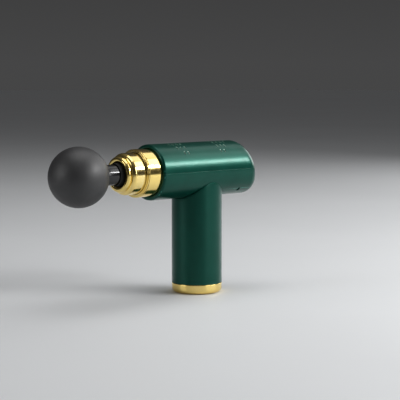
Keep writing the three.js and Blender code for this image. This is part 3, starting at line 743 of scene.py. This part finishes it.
def make_head():
    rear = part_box("head_stem")[1].x
    shoulder = PLUNGER_FRONT - GAP
    grooves = []
    for node in O_RINGS:
        x = middle(node).x
        grooves += [(x - GROOVE_HALF, SPIGOT_R), (x - GROOVE_HALF, GROOVE_R),
                    (x + GROOVE_HALF, GROOVE_R), (x + GROOVE_HALF, SPIGOT_R)]
    taper_rear = CORE_REAR + CORE_TAPER
    stem = [
        (CORE_FRONT, 0), (CORE_FRONT, CORE_R - 1 * MM), (CORE_FRONT + 1 * MM, CORE_R), (CORE_REAR, CORE_R),
        (taper_rear, STEM_R),
        *softened([(taper_rear, STEM_R, 0), (shoulder, STEM_R, 0.6 * MM), (shoulder, SPIGOT_R, 0)], 6)[1:],
        *grooves, (rear - 1.5 * MM, SPIGOT_R), (rear, SPIGOT_R - 1.5 * MM), (rear, 0),
    ]
    place(turned("stem", stem, along_x, 160), "head", "gloss_black", "head_stem")
    for i, node in enumerate(O_RINGS):
        ring = arc(middle(node).x, 6.95 * MM, 0.55 * MM, 0, 345, 23)
        place(turned(f"o_ring_{i + 1}", ring, along_x, 96), "head", "black_rubber", node)
    mouth = math.degrees(math.asin((STEM_R + 1.2 * MM) / BALL_R))
    bore = STEM_R + GAP
    mouth_x = BALL_X + BALL_R * math.cos(math.radians(mouth))
    ball = [
        *[(x, max(r, 0)) for x, r in arc(BALL_X, 0, BALL_R, 180, mouth, 90)],
        (mouth_x - 0.15 * MM, bore + 0.5 * MM), (mouth_x - 0.6 * MM, bore + 0.1 * MM),
        (mouth_x - 1.2 * MM, bore), (taper_rear - 0.2 * MM, bore),
        (CORE_REAR - 0.4 * MM, CORE_R + CORE_CLEAR),
        (CORE_FRONT - CORE_CLEAR, CORE_R + CORE_CLEAR), (CORE_FRONT - CORE_CLEAR, 0),
    ]
    ball[0] = (ball[0][0], 0)
    piece = place(turned("ball", ball, along_x, 192), "head", "foam_black", "foam_ball")


# ---- rear panel ----
LED_COUNT = 6
LED_ARC_R = 12.7 * MM
LED_STEP = 20                      # degrees between neighbouring lights
USB_DROP = 12.4 * MM               # the charging socket sits this far below the button
USB_MOUTH_W = 3.9 * MM
USB_MOUTH_L = 9.6 * MM
USB_CAN_REAR = -8.76 * MM
USB_CAN_W = 3.26 * MM
USB_CAN_L = 8.94 * MM
USB_WALL = 0.3 * MM
USB_EDGE = 0.16 * MM               # rounding of the can's mouth, both sides together
BEZEL_R = 22.1 * MM
BEZEL_LIP_R = 20.2 * MM
BEZEL_BORE_R = 18.6 * MM
PANEL_FRONT = -2 * MM              # heights are counted from the rear face, outwards
PANEL_FACE = -0.4 * MM


def led_spots():
    for k in range(LED_COUNT):
        angle = math.radians((k - (LED_COUNT - 1) / 2) * LED_STEP)
        yield k, -LED_ARC_R * math.sin(angle), LED_ARC_R * math.cos(angle)


def on_socket(height, across, along):
    """Placement on the rear panel round the charging socket, whose long side is level."""
    return PANEL @ Vector((along, across - USB_DROP, height))


def make_bezel():
    front, ledge, rim = REAR_X - 8.9 * MM, REAR_X - 2.3 * MM, REAR_X + 0.2 * MM
    bezel = softened([
        (front, BEZEL_BORE_R, 0), (front, BEZEL_R, 0), (REAR_X - 0.8 * MM, BEZEL_R, 0.2 * MM),
        (rim, 20.8 * MM, 0.25 * MM), (rim, BEZEL_LIP_R, 0.12 * MM),
        (ledge, BEZEL_LIP_R, 0), (ledge, BEZEL_BORE_R, 0)], 5)
    ring = turned("mint_bezel", bezel, along_x, 256, bend=leaned)
    place(ring, "housing", "mint_chamfer", "rear_bezel")


def make_panel():
    low, high = REAR_X + PANEL_FRONT, REAR_X + PANEL_FACE
    disc = turned("panel_disc", rod(low, high, PANEL_R, 0.25 * MM), along_x, 192, bend=leaned)
    through = (-5 * MM, 3 * MM)
    tools = [turned("button_tool", rod(*through, 6.1 * MM), on_panel(), 96)]
    tools += [turned(f"led_tool_{k}", rod(*through, 0.95 * MM), on_panel(x, y), 24)
              for k, x, y in led_spots()]
    flare = ((-6, 0), (-0.62, 0), (-0.5, 0.08), (-0.41, 0.28), (-0.2, 0.8))
    rings = [(h * MM, stadium(USB_MOUTH_W + g * MM, USB_MOUTH_L + g * MM, 10)) for h, g in flare]
    tools.append(loft("usb_tool", rings, on_socket))
    place(cut(disc, tools), "housing", "pale_gold_satin", "rear_panel")


def make_indicators_and_button():
    for k, x, y in led_spots():
        pipe = [(-8.4 * MM, 0), (-8.4 * MM, 1.3 * MM), (-3 * MM, 1.3 * MM), (-2.6 * MM, 0.75 * MM),
                *arc(-0.5 * MM, 0.45 * MM, 0.3 * MM, 90, 0, 5), (-0.2 * MM, 0)]
        window = turned(f"led_window_{k + 1}", pipe, on_panel(x, y), 32)
        place(window, "housing", "light_pipe", f"light_pipe_{k + 1}")

    collar = softened([(-2.6 * MM, 4.75 * MM, 0), (-2.6 * MM, 5.85 * MM, 0), (0.1 * MM, 5.85 * MM, 0.35 * MM),
                       (0.1 * MM, 4.75 * MM, 0.3 * MM)], 6)
    place(turned("button_collar", collar, on_panel(), 96), "housing", "matt_black", "button_ring")
    key = [(-6.5 * MM, 0), (-6.5 * MM, 1.6 * MM), (-3.9 * MM, 1.6 * MM), (-3.9 * MM, 5.5 * MM),
           (-2.9 * MM, 5.5 * MM), (-2.9 * MM, 4.4 * MM), *arc(0.05 * MM, 4.0 * MM, 0.4 * MM, 90, 20, 8),
           (0.32 * MM, 3.4 * MM), (0.2 * MM, 2.2 * MM), (0.13 * MM, 1.0 * MM), (0.12 * MM, 0)]
    place(turned("power_key", key, on_panel(), 96), "button", "gloss_black", "power_button")


def make_socket():
    can = stadium(USB_CAN_W, USB_CAN_L, 10)
    mouth = stadium(USB_CAN_W - USB_EDGE, USB_CAN_L - USB_EDGE, 10)
    shell = loft("usb_can", [(USB_CAN_REAR, can), (-0.7 * MM, can), (-0.6 * MM, mouth)], on_socket)
    inner = stadium(USB_CAN_W - 2 * USB_WALL, USB_CAN_L - 2 * USB_WALL, 10)
    bore = loft("usb_bore", [(-12 * MM, inner), (1 * MM, inner)], on_socket)
    place(cut(shell, [bore]), "housing", "ground_steel", "usb_shell")


# ---- inner pieces that keep their CAD shape ----
CAD_BEVEL = 0.12 * MM
CAD_BEVEL_ANGLE = 50               # degrees; only edges sharper than this are bevelled


def dress_cad():
    slots = {p["node"]: p["material_slot"] for p in frame["record"]["subparts"]}
    for name, obj in frame["nodes"].items():
        dress(obj, slots[name])
        bevel = obj.modifiers.new("soft_edges", "BEVEL")
        bevel.width = CAD_BEVEL
        bevel.segments = 2
        bevel.limit_method = "ANGLE"
        bevel.angle_limit = math.radians(CAD_BEVEL_ANGLE)


# ---- studio ----
LIGHT_AIM = Vector((-0.03, 0, 0.1))
FLOOR_RADIUS = 9
# mirrored in the barrel's side: name, height in degrees, shift, depth, length, radiance
BARREL_LIGHTS = (
    ("key_edge", 33, -0.12, 0.16, 0.6, 25),
    ("key", 56, -0.06, 0.54, 0.7, 1.9),
    ("overhead", 92, 0, 0.66, 0.8, 0.9),
)
BARREL_LIGHT_DISTANCE = 1.2
# mirrored in the handle's sides: name, degrees from the camera, width, radiance
STRIPS = (("left_strip", -66, 0.7, 2.6), ("right_strip", 54, 0.5, 3.0))
STRIP_LIFT = 0.3
STRIP_HEIGHT = 0.8
STRIP_DISTANCE = 1.5
WORLD_LEVELS = ((0.0, 0.07), (0.1, 0.05), (0.3, 0.04), (0.6, 0.08), (1.0, 0.2))  # by height, dim to bright


def make_floor():
    bm = bmesh.new()
    bmesh.ops.create_circle(bm, cap_ends=True, segments=96, radius=FLOOR_RADIUS)
    mesh = bpy.data.meshes.new("floor")
    bm.to_mesh(mesh)
    bm.free()
    floor = mesh_object("floor", mesh)
    f = Finish("floor_pale", (0.64, 0.65, 0.66), 0.0, 0.5, Specular_IOR_Level=0.2)
    f.mottled(0.3, (0.63, 0.64, 0.65), (0.65, 0.66, 0.67))
    floor.data.materials.append(f.material)


def softbox(name, direction, distance, width, height, radiance, along=Vector((0, 0, 1))):
    """A plain rectangular light facing the object; along is roughly its height direction."""
    light = bpy.data.lights.new(name, "AREA")
    light.shape = "RECTANGLE"
    light.size = width
    light.size_y = height
    light.energy = radiance * math.pi * width * height
    obj = bpy.data.objects.new(name, light)
    out = direction.normalized()
    side = along.cross(out).normalized()
    turn = Matrix((side, out.cross(side), out)).transposed()
    obj.matrix_world = Matrix.Translation(LIGHT_AIM + out * distance) @ turn.to_4x4()
    obj.visible_camera = False
    bpy.context.scene.collection.objects.link(obj)


def over_barrel(height, shift):
    """Direction and depth axis of a light that the barrel's side mirrors to the camera.

    height is in degrees, counted up round the barrel; shift slides the light along it.
    """
    across = math.sqrt(1 - FORWARD.x ** 2)
    turn = math.radians(height)
    direction = Vector((FORWARD.x + shift, -across * math.cos(turn), across * math.sin(turn)))
    return direction, Vector((0, math.sin(turn), math.cos(turn)))


def beside_camera(angle, lift):
    """Direction at an angle from the camera's own, seen from above; positive to the right."""
    right = FORWARD.cross(Vector((0, 0, 1))).normalized()
    back = right.cross(Vector((0, 0, 1)))
    return right * math.sin(math.radians(angle)) + back * math.cos(math.radians(angle)) + Vector((0, 0, lift))


def make_lights():
    for name, height, shift, depth, length, radiance in BARREL_LIGHTS:
        direction, along = over_barrel(height, shift)
        softbox(name, direction, BARREL_LIGHT_DISTANCE, length, depth, radiance, along)
    softbox("ceiling", Vector((0, 0, 1)), 1.5, 1.1, 1.1, 1.8, Vector((0, 1, 0)))
    for name, angle, width, radiance in STRIPS:
        softbox(name, beside_camera(angle, STRIP_LIFT), STRIP_DISTANCE, width, STRIP_HEIGHT, radiance)
    softbox("rear", Vector((1, 0.1, 0.25)), 1.6, 0.9, 0.6, 3.0)


def make_world():
    world = bpy.data.worlds.new("studio")
    bpy.context.scene.world = world
    world.use_nodes = True
    nodes, links = world.node_tree.nodes, world.node_tree.links
    coordinates = nodes.new("ShaderNodeTexCoord")
    split = nodes.new("ShaderNodeSeparateXYZ")
    ramp = nodes.new("ShaderNodeValToRGB")
    links.new(coordinates.outputs["Generated"], split.inputs[0])
    links.new(split.outputs["Z"], ramp.inputs["Fac"])
    links.new(ramp.outputs["Color"], nodes["Background"].inputs["Color"])
    ramp.color_ramp.elements.remove(ramp.color_ramp.elements[1])
    for i, (where, level) in enumerate(WORLD_LEVELS):
        stop = ramp.color_ramp.elements[0] if i == 0 else ramp.color_ramp.elements.new(where)
        stop.position = where
        stop.color = (level, level, level * 1.01, 1)
    nodes["Background"].inputs["Strength"].default_value = 1.0
    bpy.context.scene.view_settings.view_transform = "Standard"
    bpy.context.scene.view_settings.look = "Medium High Contrast"


make_barrel()
make_handle()
make_foot()
make_nose()
make_head()
make_bezel()
make_panel()
make_indicators_and_button()
make_socket()
dress_cad()
make_floor()
make_lights()
make_world()
